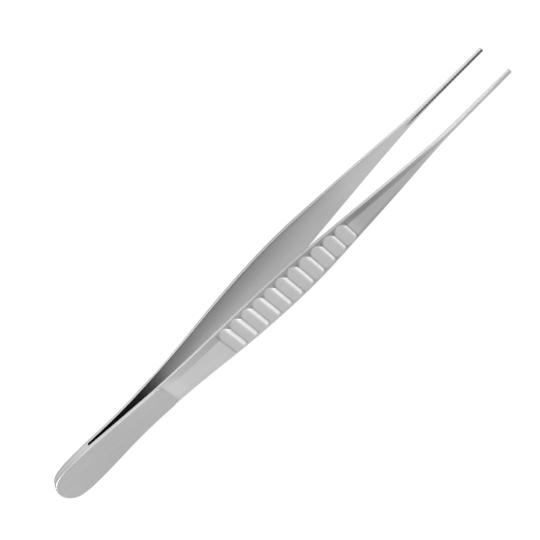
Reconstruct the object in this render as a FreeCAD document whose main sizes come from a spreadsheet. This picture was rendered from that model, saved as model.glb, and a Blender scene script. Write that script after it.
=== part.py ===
import FreeCAD, Part
import math
import os

import Sketcher
from FreeCAD import Vector

# Fine-toothed tissue forceps: two forged arms, welded face to face at the tail.
# The instrument lies on its edge. X runs from the tail to the tips, the arms
# open along Y, and Z is the width of the arms. The origin is under the middle
# of the instrument, on the surface that it lies on.

doc = FreeCAD.newDocument("tissue_forceps")

# Driving dimensions in millimetres. Every x is a distance from the tail end.
SIZES = {
    "overall_length": 160.0,
    # weld and slit at the tail
    "tail_half_thickness": 1.4,
    "slit_start": 15.8,
    "slit_half_width": 0.5,
    # inner face seen from above: straight runs with a bend at each knee
    "root_knee_x": 28.0,
    "root_knee_gap": 1.03,
    "root_bend": 200.0,
    "grip_knee_x": 83.0,
    "grip_knee_gap": 6.3,
    "grip_bend": 600.0,
    "jaw_knee_x": 119.7,
    "jaw_half_gap": 7.42,
    "jaw_bend": 400.0,
    # flat pad on the outside of the tail
    "pad_length": 41.2,
    "pad_knee_x": 27.0,
    "pad_knee_y": 2.05,
    "pad_end_thickness": 1.115,
    "pad_bend": 200.0,
    "pad_corner": 2.0,
    "pad_edge_round": 0.3,
    # how far past the pad the face takes to rise to the full crown
    "ramp_length": 5.8,
    # outline of an arm: half widths at its widest and narrowest places
    "nose_radius": 4.5,
    "tail_x": 8.0,
    "tail_half_width": 4.9,
    "waist_half_width": 3.8,
    "waist_rear_radius": 280.0,
    "waist_front_radius": 350.0,
    "grip_x": 80.5,
    "grip_half_width": 4.9,
    "grip_front_radius": 180.0,
    "neck_x": 136.9,
    "neck_half_width": 0.64,
    "neck_radius": 150.0,
    "tip_half_width": 0.52,
    "tip_corner": 0.35,
    # finger flutes
    "flute_count": 11.0,
    "flute_start": 63.6,
    "flute_pitch": 3.97,
    "flute_radius": 3.4,
    "flute_depth": 0.55,
    # jaws
    "teeth_start": 131.0,
    "tooth_pitch": 0.9,
    "tooth_depth": 0.18,
    "tooth_row_width": 0.54,
    "groove_width": 0.28,
    "groove_depth": 0.26,
    "ridge_clearance": 0.04,
}

# Crown of the outer face at stations along the arm: the station, the
# thickness at the edge, the rise of the crown above the edge and the half
# width of its flat middle
CROWN = {
    "swell": (57.0, 1.00, 0.60, 2.40),
    "grip_rear": (70.0, 1.10, 0.70, 2.90),
    "grip": (82.0, 1.10, 0.75, 3.00),
    "grip_front": (94.0, 1.10, 0.70, 2.60),
    "taper": (107.0, 1.00, 0.60, 1.80),
    "neck": (122.0, 0.93, 0.50, 0.75),
    "jaw": (135.0, 0.88, 0.42, 0.18),
    "facet": (146.0, 0.84, 0.34, 0.10),
}
# The same at the foot and the top of the ramp past the pad, and at the tip
CROWN_ENDS = {
    "step": (0.70, 0.22, 1.90),
    "shank": (0.90, 0.45, 1.95),
    "tip": (0.68, 0.14, 0.44),
}

sheet = doc.addObject("Spreadsheet::Sheet", "Sizes")
next_row = 1


def put(alias, value):
    """Write one size and its name in the next row of the sheet."""
    global next_row
    sheet.set("A%d" % next_row, alias)
    sheet.set("B%d" % next_row, str(value))
    sheet.setAlias("B%d" % next_row, alias)
    next_row += 1


for name, value in SIZES.items():
    put(name, value)
for place, (station, edge, rise, flat) in CROWN.items():
    put(place + "_station", station)
    put(place + "_edge", edge)
    put(place + "_rise", rise)
    put(place + "_flat", flat)
for place, (edge, rise, flat) in CROWN_ENDS.items():
    put(place + "_edge", edge)
    put(place + "_rise", rise)
    put(place + "_flat", flat)
doc.recompute()


def size(alias):
    return float(sheet.get(alias))


# How far cutters reach past what they cut
OVERRUN = 2.0
# How far the blank is padded before its faces are cut
BLANK_DEPTH = 16.0
# Evenly spaced sections of the loft that shapes the crown
CROWN_SECTION_COUNT = 24


# Profiles of lines and arcs

def line(start, end):
    return {"start": start, "end": end}


def arc(start, end, centre):
    return {"start": start, "end": end, "centre": centre}


def bend(before, knee, after, radius):
    """The arc that rounds the corner at knee, tangent to both its sides."""
    into = (knee - before).normalize()
    out = (after - knee).normalize()
    turn = into.getAngle(out)
    reach = radius * math.tan(turn / 2)
    toward = (out - into).normalize()
    centre = knee + toward * (radius / math.cos(turn / 2))
    return arc(knee - into * reach, knee + out * reach, centre)


def rounded_chain(points, radii):
    """Lines through points, with an arc of each radius at the inner ones."""
    corners = zip(points, points[1:], points[2:], radii)
    bends = [bend(*corner) for corner in corners]
    starts = [points[0]] + [piece["end"] for piece in bends]
    ends = [piece["start"] for piece in bends] + [points[-1]]
    chain = []
    for number, (start, end) in enumerate(zip(starts, ends)):
        chain.append(line(start, end))
        chain += bends[number:number + 1]
    return chain


def height_on(chain, x):
    """The y of the profile at x."""
    for piece in chain:
        start, end = piece["start"], piece["end"]
        if start.x <= x <= end.x:
            if "centre" not in piece:
                return start.y + (x - start.x) / (end.x - start.x) * (end.y - start.y)
            centre = piece["centre"]
            radius = (start - centre).Length
            drop = math.sqrt(radius ** 2 - (x - centre.x) ** 2)
            return centre.y + math.copysign(drop, start.y - centre.y)
    raise ValueError("no profile at x = %g" % x)


def slit_end():
    return size("slit_start") + size("slit_half_width")


def inner_chain():
    """The inner face of the +Y arm, seen from above."""
    points = [
        Vector(slit_end(), size("slit_half_width"), 0),
        Vector(size("root_knee_x"), size("root_knee_gap"), 0),
        Vector(size("grip_knee_x"), size("grip_knee_gap"), 0),
        Vector(size("jaw_knee_x"), size("jaw_half_gap"), 0),
        Vector(size("overall_length") + OVERRUN, size("jaw_half_gap"), 0),
    ]
    return rounded_chain(points, [size("root_bend"), size("grip_bend"), size("jaw_bend")])


def pad_chain():
    """The outer face of the tail pad, seen from above."""
    tail = Vector(0, size("tail_half_thickness"), 0)
    knee = Vector(size("pad_knee_x"), size("pad_knee_y"), 0)
    inside = height_on(inner_chain(), size("pad_length"))
    end = Vector(size("pad_length"), inside + size("pad_end_thickness"), 0)
    before = tail + (tail - knee).normalize() * OVERRUN
    after = end + (end - knee).normalize() * OVERRUN
    return rounded_chain([before, knee, after], [size("pad_bend")])


def swell_arcs(hollow_x, hollow_y, hollow_radius, crest_x, crest_y):
    """Two arcs from the bottom of a hollow up to a crest, level at both."""
    across = crest_x - hollow_x
    up = crest_y - hollow_y
    crest_radius = (across ** 2 + up ** 2) / (2 * up) - hollow_radius
    hollow_centre = Vector(hollow_x, hollow_y + hollow_radius, 0)
    crest_centre = Vector(crest_x, crest_y - crest_radius, 0)
    share = hollow_radius / (hollow_radius + crest_radius)
    meet = hollow_centre + (crest_centre - hollow_centre) * share
    hollow = Vector(hollow_x, hollow_y, 0)
    crest = Vector(crest_x, crest_y, 0)
    return arc(hollow, meet, hollow_centre), arc(meet, crest, crest_centre)


def turned(piece):
    return arc(piece["end"], piece["start"], piece["centre"])


def nose_arcs():
    """The round end of the tail: a nose arc and a flatter shoulder arc."""
    nose = size("nose_radius")
    nose_centre = Vector(nose, 0, 0)
    crest = Vector(size("tail_x"), size("tail_half_width"), 0)
    across = crest.x - nose
    up = crest.y
    shoulder = (across ** 2 + up ** 2 - nose ** 2) / (2 * (up - nose))
    shoulder_centre = Vector(crest.x, crest.y - shoulder, 0)
    meet = shoulder_centre + (nose_centre - shoulder_centre).normalize() * shoulder
    start = Vector(0, 0, 0)
    return arc(start, meet, nose_centre), arc(meet, crest, shoulder_centre)


def waist_x():
    """The waist lies where the rounded corner of the pad starts."""
    return size("pad_length") - size("pad_corner")


# The pieces of the outline in order, each named after its place on the arm
OUTLINE_PIECES = (
    "nose", "shoulder", "tail", "waist_rear", "waist_front", "grip_rear",
    "grip_front", "taper", "neck", "jaw", "tip_round", "tip_end",
)


def outline_chain():
    """The upper half of an arm's outline, from the nose to the tip."""
    waist = size("waist_half_width")
    rear = swell_arcs(waist_x(), waist, size("waist_rear_radius"),
                      size("tail_x"), size("tail_half_width"))
    front = swell_arcs(waist_x(), waist, size("waist_front_radius"),
                       size("grip_x"), size("grip_half_width"))
    chain = list(nose_arcs())
    chain += [turned(rear[1]), turned(rear[0])]
    chain += list(front)
    crest = Vector(size("grip_x"), size("grip_half_width"), 0)
    neck = Vector(size("neck_x"), size("neck_half_width"), 0)
    radius = size("grip_front_radius")
    centre = crest - Vector(0, radius, 0)
    span = neck - centre
    lean = math.atan2(span.y, span.x) + math.acos(radius / span.Length)
    leave = centre + Vector(math.cos(lean), math.sin(lean), 0) * radius
    chain.append(arc(crest, leave, centre))
    tip = Vector(size("overall_length"), size("tip_half_width"), 0)
    end = Vector(tip.x, 0, 0)
    radii = [size("neck_radius"), size("tip_corner")]
    chain += rounded_chain([leave, neck, tip, end], radii)
    return chain


# Sketches drawn from these profiles

def principal_plane(body, role):
    for feature in body.Origin.OriginFeatures:
        if feature.Role == role:
            return feature
    raise ValueError("no plane " + role)


def new_sketch(body, name, role):
    sketch = body.newObject("Sketcher::SketchObject", name)
    sketch.AttachmentSupport = (principal_plane(body, role), "")
    sketch.MapMode = "FlatFace"
    return sketch


def add_piece(sketch, piece):
    """Draw a line or arc; give its number and which of its ends come first."""
    start, end = piece["start"], piece["end"]
    if "centre" not in piece:
        return sketch.addGeometry(Part.LineSegment(start, end), False), 1, 2
    centre = piece["centre"]
    first, last = start - centre, end - centre
    ahead = first.cross(last).z > 0
    if not ahead:
        first, last = last, first
    begin = math.atan2(first.y, first.x)
    finish = math.atan2(last.y, last.x)
    if finish < begin:
        finish += 2 * math.pi
    circle = Part.Circle(centre, Vector(0, 0, 1), first.Length)
    number = sketch.addGeometry(Part.ArcOfCircle(circle, begin, finish), False)
    return (number, 1, 2) if ahead else (number, 2, 1)


def draw_chain(sketch, chain, smooth=True):
    """Draw the pieces of a profile, each joined to the one before it."""
    drawn = [add_piece(sketch, piece) for piece in chain]
    for (number, _, last), (following, first, _) in zip(drawn, drawn[1:]):
        join = "Tangent" if smooth else "Coincident"
        sketch.addConstraint(Sketcher.Constraint(join, number, last, following, first))
    return drawn


def bind(sketch, constraint, expression):
    """Add a constraint whose value comes from the sheet."""
    number = sketch.addConstraint(constraint)
    sketch.setExpression("Constraints[%d]" % number, expression)


ORIGIN = (-1, 1)
X_AXIS = -1


def place_point(sketch, geometry, end, point, across, up):
    """Tie a point of the sketch to the origin by two sizes of the sheet."""
    distance_x = Sketcher.Constraint("DistanceX", *ORIGIN, geometry, end, point.x)
    distance_y = Sketcher.Constraint("DistanceY", *ORIGIN, geometry, end, point.y)
    bind(sketch, distance_x, across)
    bind(sketch, distance_y, up)


def set_radius(sketch, edge, piece, expression):
    radius = (piece["start"] - piece["centre"]).Length
    bind(sketch, Sketcher.Constraint("Radius", edge[0], radius), expression)


def mark_knee(sketch, lines, point, across, up):
    """A construction point on one line, or where two would meet, placed by the sheet."""
    knee = sketch.addGeometry(Part.Point(point), True)
    place_point(sketch, knee, 1, point, across, up)
    for number in lines:
        sketch.addConstraint(Sketcher.Constraint("PointOnObject", knee, 1, number))


def close_with(sketch, drawn, chain, corners):
    """Close a profile by straight lines through the corners."""
    points = [chain[-1]["end"]] + corners + [chain[0]["start"]]
    sides = [line(start, end) for start, end in zip(points, points[1:])]
    closing = draw_chain(sketch, sides, smooth=False)
    first, last = closing[0], closing[-1]
    sketch.addConstraint(
        Sketcher.Constraint("Coincident", drawn[-1][0], drawn[-1][2], first[0], first[1]))
    sketch.addConstraint(
        Sketcher.Constraint("Coincident", drawn[0][0], drawn[0][1], last[0], last[2]))
    for number, _, _ in closing:
        sketch.addConstraint(Sketcher.Constraint("Block", number))
    return closing


# The forged blank of one arm: its outline, then its inner face and its pad

blank = doc.addObject("PartDesign::Body", "arm_blank")


def draw_outline():
    sketch = new_sketch(blank, "outline", "XZ_Plane")
    chain = outline_chain()
    drawn = draw_chain(sketch, chain)
    piece = dict(zip(OUTLINE_PIECES, chain))
    edge = dict(zip(OUTLINE_PIECES, drawn))
    starts = {
        "tail": ("Sizes.tail_x", "Sizes.tail_half_width"),
        "waist_front": ("Sizes.pad_length - Sizes.pad_corner", "Sizes.waist_half_width"),
        "grip_front": ("Sizes.grip_x", "Sizes.grip_half_width"),
    }
    for name, (across, up) in starts.items():
        geometry, first, _ = edge[name]
        place_point(sketch, geometry, first, piece[name]["start"], across, up)
        sketch.addConstraint(Sketcher.Constraint("Vertical", geometry, 3, geometry, first))
    radii = {
        "nose": "Sizes.nose_radius",
        "waist_rear": "Sizes.waist_rear_radius",
        "waist_front": "Sizes.waist_front_radius",
        "grip_front": "Sizes.grip_front_radius",
        "neck": "Sizes.neck_radius",
        "tip_round": "Sizes.tip_corner",
    }
    for name, expression in radii.items():
        set_radius(sketch, edge[name], piece[name], expression)
    taper, jaw, nose, end = [edge[name] for name in ("taper", "jaw", "nose", "tip_end")]
    mark_knee(sketch, (taper[0], jaw[0]),
              Vector(size("neck_x"), size("neck_half_width"), 0),
              "Sizes.neck_x", "Sizes.neck_half_width")
    mark_knee(sketch, (jaw[0], end[0]),
              Vector(size("overall_length"), size("tip_half_width"), 0),
              "Sizes.overall_length", "Sizes.tip_half_width")
    sketch.addConstraint(Sketcher.Constraint("Vertical", end[0]))
    centre_line = sketch.addGeometry(Part.LineSegment(chain[-1]["end"], chain[0]["start"]))
    sketch.addConstraint(Sketcher.Constraint("Coincident", end[0], end[2], centre_line, 1))
    sketch.addConstraint(Sketcher.Constraint("Coincident", nose[0], nose[1], centre_line, 2))
    sketch.addConstraint(Sketcher.Constraint("Coincident", centre_line, 2, *ORIGIN))
    sketch.addConstraint(Sketcher.Constraint("PointOnObject", centre_line, 1, X_AXIS))
    sketch.addConstraint(Sketcher.Constraint("PointOnObject", nose[0], 3, X_AXIS))
    return sketch


def draw_gap():
    """What is cut away between the arms: the slit and the opening."""
    sketch = new_sketch(blank, "gap", "XY_Plane")
    root_centre = Vector(slit_end(), 0, 0)
    inner = inner_chain()
    chain = [arc(Vector(size("slit_start"), 0, 0), inner[0]["start"], root_centre)] + inner
    drawn = draw_chain(sketch, chain[:1]) + draw_chain(sketch, inner)
    sketch.addConstraint(
        Sketcher.Constraint("Coincident", drawn[0][0], drawn[0][2], drawn[1][0], drawn[1][1]))
    set_radius(sketch, drawn[0], chain[0], "Sizes.slit_half_width")
    knees = ("root_knee", "grip_knee", "jaw_knee")
    rounds = ("root_bend", "grip_bend", "jaw_bend")
    heights = ("root_knee_gap", "grip_knee_gap", "jaw_half_gap")
    for number, (knee, round_name, height) in enumerate(zip(knees, rounds, heights)):
        before, turn, after = 2 * number + 1, 2 * number + 2, 2 * number + 3
        set_radius(sketch, drawn[turn], chain[turn], "Sizes." + round_name)
        mark_knee(sketch, (drawn[before][0], drawn[after][0]),
                  Vector(size(knee + "_x"), size(height), 0),
                  "Sizes.%s_x" % knee, "Sizes." + height)
    far = size("overall_length") + OVERRUN
    corners = [Vector(far, -OVERRUN, 0), Vector(size("slit_start"), -OVERRUN, 0)]
    close_with(sketch, drawn, chain, corners)
    return sketch


# Height of the inner face's straight run at the end of the pad
INSIDE_AT_PAD_END = (
    "Sizes.root_knee_gap + (Sizes.pad_length - Sizes.root_knee_x)"
    " * (Sizes.grip_knee_gap - Sizes.root_knee_gap)"
    " / (Sizes.grip_knee_x - Sizes.root_knee_x)"
)


def draw_outside():
    """What is cut away outside the flat pad of the tail."""
    sketch = new_sketch(blank, "outside", "XY_Plane")
    chain = pad_chain()
    drawn = draw_chain(sketch, chain)
    rear, knee, front = drawn
    set_radius(sketch, knee, chain[1], "Sizes.pad_bend")
    mark_knee(sketch, (rear[0], front[0]),
              Vector(size("pad_knee_x"), size("pad_knee_y"), 0),
              "Sizes.pad_knee_x", "Sizes.pad_knee_y")
    inside = height_on(inner_chain(), size("pad_length"))
    mark_knee(sketch, (front[0],),
              Vector(size("pad_length"), inside + size("pad_end_thickness"), 0),
              "Sizes.pad_length", INSIDE_AT_PAD_END + " + Sizes.pad_end_thickness")
    top = BLANK_DEPTH + OVERRUN
    corners = [Vector(chain[-1]["end"].x, top, 0), Vector(chain[0]["start"].x, top, 0)]
    close_with(sketch, drawn, chain, corners)
    return sketch


outline = draw_outline()
half_pad = blank.newObject("PartDesign::Pad", "half_pad")
half_pad.Profile = outline
half_pad.Length = BLANK_DEPTH
half_pad.Reversed = True
both_halves = blank.newObject("PartDesign::Mirrored", "both_halves")
both_halves.Originals = [half_pad]
both_halves.MirrorPlane = (principal_plane(blank, "XY_Plane"), [""])
blank.Tip = both_halves
doc.recompute()


def pocket_through(sketch, name):
    """Cut a profile through the whole width; a cut that removes nothing stops here."""
    before = blank.Shape.Volume
    pocket = blank.newObject("PartDesign::Pocket", name)
    pocket.Profile = sketch
    pocket.SideType = "Symmetric"
    pocket.setExpression("Length", "4 * Sizes.grip_half_width")
    doc.recompute()
    if blank.Shape.Volume >= before:
        raise RuntimeError(name + " cut nothing")
    return pocket


pocket_through(draw_gap(), "gap_cut")
pocket_through(draw_outside(), "pad_face")


# The crown of the outer face, past the pad

CROWN_PARTS = ("edge", "rise", "flat")


def crown_stations():
    """The places along the arm where the crown is set, and its sizes there."""
    places = [size("pad_length"), size("pad_length") + size("ramp_length")]
    places += [size(place + "_station") for place in CROWN]
    places.append(size("overall_length"))
    names = ["step", "shank"] + list(CROWN) + ["tip"]
    sizes = [[size("%s_%s" % (name, part)) for name in names] for part in CROWN_PARTS]
    return places, sizes


def eased(places, values, x):
    """The value at x on a smooth curve through the values that never overshoots them."""
    grades = [(front - rear) / (end - start) for rear, front, start, end
              in zip(values, values[1:], places, places[1:])]
    slopes = [0.0]
    for rear, front in zip(grades, grades[1:]):
        slopes.append(2 * rear * front / (rear + front) if rear * front > 0 else 0.0)
    slopes.append(0.0)
    spans = zip(places, places[1:], values, values[1:], slopes, slopes[1:])
    for start, end, rear, front, rear_slope, front_slope in spans:
        if x <= end:
            reach = end - start
            share = (x - start) / reach
            left = 1 - share
            return (left ** 2 * (1 + 2 * share) * rear
                    + share ** 2 * (1 + 2 * left) * front
                    + share * left * reach * (left * rear_slope - share * front_slope))


def crown_at(x):
    """Edge thickness, rise and flat half width of the crown at x."""
    places, sizes = crown_stations()
    inside = min(max(x, places[0]), places[-1])
    return [eased(places, values, inside) for values in sizes]


def crown_line(x):
    """The y of the crown's flat middle at x."""
    edge, rise, _ = crown_at(x)
    return height_on(inner_chain(), x) + edge + rise


def crown_section(x, side):
    """A wire round what is ground away above the crown at x."""
    edge, rise, flat = crown_at(x)
    top = crown_line(x)
    slope = rise / (side - flat)
    low = top - rise - slope * OVERRUN
    reach = side + OVERRUN
    high = BLANK_DEPTH + OVERRUN
    ridge = [(reach, low), (flat, top), (-flat, top), (-reach, low)]
    corners = ridge + [(-reach, high), (reach, high)]
    points = [Vector(x, y, z) for z, y in corners]
    return Part.makePolygon(points + points[:1])


def crown_cutter():
    chain = outline_chain()
    full_width_end = size("overall_length") - size("tip_corner")
    start = size("pad_length") - 3 * size("pad_corner")
    reach = size("overall_length") + OVERRUN - start
    wires = []
    for number in range(CROWN_SECTION_COUNT + 1):
        x = start + reach * number / CROWN_SECTION_COUNT
        wires.append(crown_section(x, height_on(chain, min(x, full_width_end))))
    return Part.makeLoft(wires, True, False)


crown = doc.addObject("Part::Feature", "ground_away")
crown.Shape = crown_cutter()


def keep_box(name, length, half_width):
    """A block over the pad, kept clear of the crown's cutter."""
    box = doc.addObject("Part::Box", name)
    box.setExpression("Length", "%s + %g" % (length, OVERRUN))
    box.setExpression("Height", "2 * (%s)" % half_width)
    box.Width = BLANK_DEPTH + 2 * OVERRUN
    box.setExpression("Placement.Base.x", "%g" % -OVERRUN)
    box.setExpression("Placement.Base.y", "%g" % -OVERRUN)
    box.setExpression("Placement.Base.z", "-(%s)" % half_width)
    return box


pad_block = keep_box("pad_block", "Sizes.pad_length", "Sizes.waist_half_width")
wide_block = keep_box("wide_block", "Sizes.pad_length - Sizes.pad_corner",
                      "Sizes.grip_half_width + %g" % (2 * OVERRUN))
doc.recompute()


def upright_edges(shape, x, direction):
    """Numbers of the straight edges at x that run along a direction."""
    found = []
    for number, edge in enumerate(shape.Edges, 1):
        ends = [vertex.Point for vertex in edge.Vertexes]
        if len(ends) == 2 and all(abs(end.x - x) < 1e-6 for end in ends):
            if abs((ends[1] - ends[0]).normalize().dot(direction)) > 0.999:
                found.append(number)
    return found


pad_end = doc.addObject("Part::Fillet", "pad_end")
pad_end.Base = pad_block
corner = size("pad_corner")
corners = upright_edges(pad_block.Shape, size("pad_length"), Vector(0, 1, 0))
pad_end.Edges = [(number, corner, corner) for number in corners]
keep = doc.addObject("Part::MultiFuse", "kept_at_pad")
keep.Shapes = [pad_end, wide_block]
crown_cut = doc.addObject("Part::Cut", "crown_cut")
crown_cut.Base = crown
crown_cut.Tool = keep
crowned = doc.addObject("Part::Cut", "crowned_arm")
crowned.Base = blank
crowned.Tool = crown_cut
doc.recompute()


# Finger flutes: shallow scallops milled across the crown

def flute(number):
    """The cutter of one flute, square to the crown where it cuts."""
    pitch = size("flute_pitch")
    x = size("flute_start") + number * pitch
    rear = Vector(x - pitch / 2, crown_line(x - pitch / 2), 0)
    front = Vector(x + pitch / 2, crown_line(x + pitch / 2), 0)
    along = (front - rear).normalize()
    outward = Vector(-along.y, along.x, 0)
    surface = (rear + front) / 2
    lift = size("flute_radius") - size("flute_depth")
    cutter = doc.addObject("Part::Cylinder", "flute_%02d" % (number + 1))
    cutter.setExpression("Radius", "Sizes.flute_radius")
    cutter.setExpression("Height", "4 * Sizes.grip_half_width")
    bottom = -2 * size("grip_half_width")
    cutter.Placement.Base = surface + outward * lift + Vector(0, 0, bottom)
    return cutter


flutes = doc.addObject("Part::Compound", "flutes")
flutes.Links = [flute(number) for number in range(int(size("flute_count")))]
fluted = doc.addObject("Part::Cut", "fluted_arm")
fluted.Base = crowned
fluted.Tool = flutes
doc.recompute()


def pad_rim(shape):
    """Numbers of the edges round the outer face of the pad."""
    profile = pad_chain()
    found = []
    for face in shape.Faces:
        corners = [vertex.Point for vertex in face.Vertexes]
        if all(point.x < size("pad_length") + 1e-6 for point in corners):
            if all(abs(height_on(profile, point.x) - point.y) < 1e-4 for point in corners):
                found += face.Edges
    rim = [edge for edge in found if sum(edge.isSame(other) for other in found) == 1]
    numbers = enumerate(shape.Edges, 1)
    return [number for number, edge in numbers if any(edge.isSame(other) for other in rim)]


formed = doc.addObject("Part::Fillet", "formed_arm")
formed.Base = fluted
edge_round = size("pad_edge_round")
formed.Edges = [(number, edge_round, edge_round) for number in pad_rim(fluted.Shape)]
mirrored = doc.addObject("Part::Mirroring", "mirrored_arm")
mirrored.Source = formed
mirrored.Normal = Vector(0, 1, 0)
doc.recompute()


# Jaws: a row of teeth on one arm that seats in a toothed groove of the other

def jaw_bar(name, width, height, base_y):
    """A long bar on the inner face of a jaw, from the first tooth to past the tip."""
    bar = doc.addObject("Part::Box", name)
    bar.setExpression("Length", "Sizes.overall_length - Sizes.teeth_start")
    bar.setExpression("Width", height)
    bar.setExpression("Height", width)
    bar.setExpression("Placement.Base.x", "Sizes.teeth_start")
    bar.setExpression("Placement.Base.y", base_y)
    bar.setExpression("Placement.Base.z", "-(%s) / 2" % width)
    return bar


def notches(name, crest_y):
    """Square notches turned on edge, one between each tooth and the next."""
    count = int((size("overall_length") - size("teeth_start")) / size("tooth_pitch"))
    quarter_turn = FreeCAD.Rotation(Vector(0, 0, 1), 45)
    bottom = -size("tooth_row_width") / 2
    cutters = []
    for number in range(count):
        x = size("teeth_start") + (number + 0.5) * size("tooth_pitch")
        cutter = doc.addObject("Part::Box", "%s_%02d" % (name, number + 1))
        cutter.setExpression("Length", "Sizes.tooth_depth * sqrt(2)")
        cutter.setExpression("Width", "Sizes.tooth_depth * sqrt(2)")
        cutter.setExpression("Height", "Sizes.tooth_row_width")
        corner = Vector(x, crest_y - size("tooth_depth"), bottom)
        cutter.Placement = FreeCAD.Placement(corner, quarter_turn)
        cutters.append(cutter)
    return cutters


groove = jaw_bar("groove", "Sizes.groove_width", "Sizes.groove_depth", "Sizes.jaw_half_gap")
left_tools = doc.addObject("Part::MultiFuse", "left_jaw_tools")
left_tools.Shapes = [groove] + notches("left_notch", size("jaw_half_gap"))
left_arm = doc.addObject("Part::Cut", "left_arm")
left_arm.Base = formed
left_arm.Tool = left_tools

ridge = jaw_bar("ridge", "Sizes.groove_width - 2 * Sizes.ridge_clearance",
                "Sizes.groove_depth - Sizes.ridge_clearance",
                "-Sizes.jaw_half_gap")
ridge_top = size("groove_depth") - size("ridge_clearance") - size("jaw_half_gap")
toothed = doc.addObject("Part::MultiFuse", "ridged_arm")
toothed.Shapes = [mirrored, ridge]
right_tools = doc.addObject("Part::Compound", "right_jaw_tools")
right_tools.Links = notches("right_notch", ridge_top)
right_arm = doc.addObject("Part::Cut", "right_arm")
right_arm.Base = toothed
right_arm.Tool = right_tools

# Both arms stand on the surface on their widest places
NODES = (left_arm, right_arm)
for node in NODES:
    node.Label = node.Name
    node.setExpression("Placement.Base.x", "-Sizes.overall_length / 2")
    node.setExpression("Placement.Base.z", "max(Sizes.grip_half_width; Sizes.tail_half_width)")
doc.recompute()

for feature in doc.Objects:
    if "Invalid" in feature.State or "Error" in feature.State:
        raise RuntimeError("%s failed: %s" % (feature.Label, feature.State))
for node in NODES:
    shape = node.Shape
    if shape.isNull() or not shape.isValid() or len(shape.Solids) != 1:
        raise RuntimeError(node.Label + " is not one valid solid")
    box = shape.optimalBoundingBox(True, False)
    print("%s: %.1f mm3, %.2f x %.2f x %.2f mm, lowest point %.3f, %d faces"
          % (node.Label, shape.Volume, box.XLength, box.YLength, box.ZLength, box.ZMin,
             len(shape.Faces)))

os.makedirs("parts", exist_ok=True)
for node in NODES:
    node.Shape.exportStep("parts/%s.step" % node.Label)
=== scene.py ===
# %% [markdown]
# # Thumb forceps of satin steel
# The instrument is two forged arms, welded face to face at the tail. It lies on
# its edge: X runs from the tail to the tips, the arms open along Y, and Z is
# the width of the arms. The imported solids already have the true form. This
# script dresses each arm in a finer skin, gives it a brushed steel finish, and
# lights it as a catalogue photograph is lit.

import math

import bmesh
import bpy
import numpy as np
from mathutils import Matrix, Vector


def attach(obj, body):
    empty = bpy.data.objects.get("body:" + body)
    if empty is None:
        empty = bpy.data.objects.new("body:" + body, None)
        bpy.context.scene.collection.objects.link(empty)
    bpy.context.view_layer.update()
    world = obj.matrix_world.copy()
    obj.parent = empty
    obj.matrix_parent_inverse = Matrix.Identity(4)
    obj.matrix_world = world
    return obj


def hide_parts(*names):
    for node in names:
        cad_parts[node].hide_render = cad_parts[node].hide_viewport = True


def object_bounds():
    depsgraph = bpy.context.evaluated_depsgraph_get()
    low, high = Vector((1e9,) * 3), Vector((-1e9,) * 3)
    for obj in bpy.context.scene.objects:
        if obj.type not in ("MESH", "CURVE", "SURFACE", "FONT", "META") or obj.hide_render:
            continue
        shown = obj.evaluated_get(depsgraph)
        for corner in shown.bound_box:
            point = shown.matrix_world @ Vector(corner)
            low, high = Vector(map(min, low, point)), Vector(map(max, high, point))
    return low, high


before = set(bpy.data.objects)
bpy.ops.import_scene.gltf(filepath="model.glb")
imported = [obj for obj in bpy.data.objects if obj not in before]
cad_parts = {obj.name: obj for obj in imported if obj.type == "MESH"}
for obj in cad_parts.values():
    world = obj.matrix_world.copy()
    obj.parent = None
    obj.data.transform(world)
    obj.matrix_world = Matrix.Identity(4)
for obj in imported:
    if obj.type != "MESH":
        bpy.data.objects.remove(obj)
cad_low, cad_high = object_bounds()
MM = 0.001
LENGTH = (cad_high.x - cad_low.x) / MM
GRIP_HALF_WIDTH = (cad_high.z - cad_low.z) / 2 / MM
print("the solids are %.1f mm long and %.1f mm high" % (LENGTH, 2 * GRIP_HALF_WIDTH))

# %% [markdown]
# ## The sizes of an arm
# A forged arm is drawn by three profiles: its outline seen square to the flat
# side, and its inner and outer faces seen from above. All are chains of lines
# and arcs, so the same few sizes draw them as draw the solids. They are in
# millimetres, with x counted from the tail end.

# %% Sizes in millimetres, x from the tail end
TAIL_HALF_THICKNESS = 1.4
SLIT_START, SLIT_HALF_WIDTH = 15.8, 0.5
ROOT_KNEE, ROOT_BEND = Vector((28.0, 1.03)), 200.0
GRIP_KNEE, GRIP_BEND = Vector((83.0, 6.3)), 600.0
JAW_KNEE, JAW_BEND = Vector((119.7, 7.42)), 400.0
PAD_LENGTH, PAD_CORNER = 41.2, 2.0
PAD_KNEE, PAD_BEND = Vector((27.0, 2.05)), 200.0
PAD_END_THICKNESS, PAD_OVERRUN = 1.115, 4.0
RAMP_LENGTH = 5.8
NOSE_RADIUS = 4.5
TAIL_CREST = Vector((8.0, 4.9))
WAIST_HALF_WIDTH = 3.8
WAIST_REAR_RADIUS, WAIST_FRONT_RADIUS = 280.0, 350.0
GRIP_CREST = Vector((80.5, GRIP_HALF_WIDTH))
GRIP_FRONT_RADIUS = 180.0
NECK_KNEE, NECK_RADIUS = Vector((136.9, 0.64)), 150.0
TIP_HALF_WIDTH, TIP_CORNER = 0.52, 0.35

# %% A straight stretch and an arc as functions of x
TINY = 1e-9


def line_run(start, end):
    """A straight stretch: where it starts and ends, and its height at x."""
    def height(x):
        return start.y + (x - start.x) * (end.y - start.y) / max(end.x - start.x, TINY)
    return start.x, end.x, height


def arc_run(start, end, centre):
    """A round stretch, on the side of its centre where it starts."""
    radius = (start - centre).length
    side = math.copysign(1.0, start.y + end.y - 2 * centre.y)

    def height(x):
        return centre.y + side * np.sqrt(np.maximum(radius ** 2 - (x - centre.x) ** 2, 0))
    return start.x, end.x, height


# %% Chains of stretches


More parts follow.
